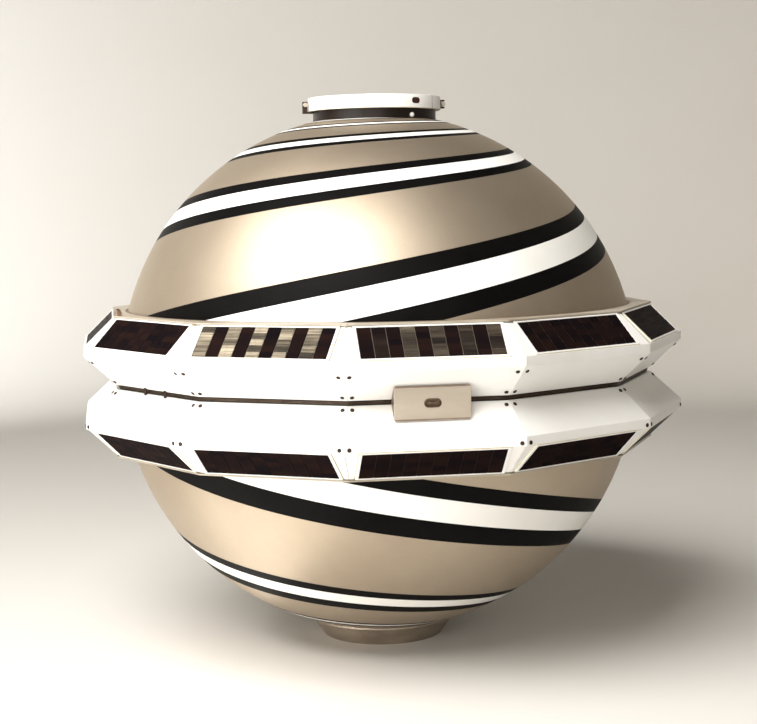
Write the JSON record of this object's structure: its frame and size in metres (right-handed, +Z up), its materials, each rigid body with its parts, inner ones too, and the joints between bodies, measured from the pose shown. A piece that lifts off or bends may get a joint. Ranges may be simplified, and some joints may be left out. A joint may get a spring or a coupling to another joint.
{
  "type": "spherical satellite",
  "caption": "Spherical satellite with a belt of slanted solar panels, striped shell, top clamp band and base collar.",
  "frame": {"origin": "centre of the base collar's foot, on the spin axis", "axes": "+Z up along the spin axis; -Y towards the belt side that carries the front despin weight; +X to its right"},
  "size_m": [1.036, 1.036, 0.9582],
  "materials": {
    "sphere_paint": "satin warm silver paint with black and white spiral bands",
    "white_paint": "bright white enamel",
    "solar_panel": "dark glassy solar cells on a plate",
    "dark_metal": "dark anodised",
    "cable_steel": "bare wire",
    "weight_metal": "satin machined",
    "neck_metal": "dark brown satin",
    "collar_metal": "dull brown-grey",
    "deck_metal": "satin",
    "block_paint": "matt primer"
  },
  "bodies": {
    "satellite_body": {"upper_shell": "sphere_paint", "lower_shell": "sphere_paint", "waist_ring": "dark_metal", "waist_cable": "cable_steel", "upper_belt_frame": "white_paint", "lower_belt_frame": "white_paint", "upper_belt_rail": "white_paint", "lower_belt_rail": "white_paint", "upper_gussets": "white_paint", "lower_gussets": "white_paint", "upper_panel_1": "solar_panel", "upper_panel_2": "solar_panel", "upper_panel_3": "solar_panel", "upper_panel_4": "solar_panel", "upper_panel_5": "solar_panel", "upper_panel_6": "solar_panel", "upper_panel_7": "solar_panel", "upper_panel_8": "solar_panel", "upper_panel_9": "solar_panel", "upper_panel_10": "solar_panel", "upper_panel_11": "solar_panel", "upper_panel_12": "solar_panel", "lower_panel_1": "solar_panel", "lower_panel_2": "solar_panel", "lower_panel_3": "solar_panel", "lower_panel_4": "solar_panel", "lower_panel_5": "solar_panel", "lower_panel_6": "solar_panel", "lower_panel_7": "solar_panel", "lower_panel_8": "solar_panel", "lower_panel_9": "solar_panel", "lower_panel_10": "solar_panel", "lower_panel_11": "solar_panel", "lower_panel_12": "solar_panel", "top_neck": "neck_metal", "top_deck": "deck_metal", "base_collar": "collar_metal", "base_deck": "deck_metal", "equipment_deck": "deck_metal", "equipment_block": "block_paint"},
    "front_weight_body": {"front_weight": "weight_metal", "front_latch": "dark_metal"},
    "rear_weight_body": {"rear_weight": "weight_metal", "rear_latch": "dark_metal"},
    "front_band_body": {"front_clamp_band": "white_paint"},
    "rear_band_body": {"rear_clamp_band": "white_paint"}
  },
  "joints": [
    {"name": "front_weight_out", "type": "slide", "parent": "satellite_body", "child": "front_weight_body", "axis": [0, -1, 0], "range_m": [0, 0.06]},
    {"name": "rear_weight_out", "type": "slide", "parent": "satellite_body", "child": "rear_weight_body", "axis": [0, 1, 0], "range_m": [0, 0.06]},
    {"name": "front_band_out", "type": "slide", "parent": "satellite_body", "child": "front_band_body", "axis": [0, -1, 0], "range_m": [0, 0.02]},
    {"name": "rear_band_out", "type": "slide", "parent": "satellite_body", "child": "rear_band_body", "axis": [0, 1, 0], "range_m": [0, 0.02]}
  ]
}
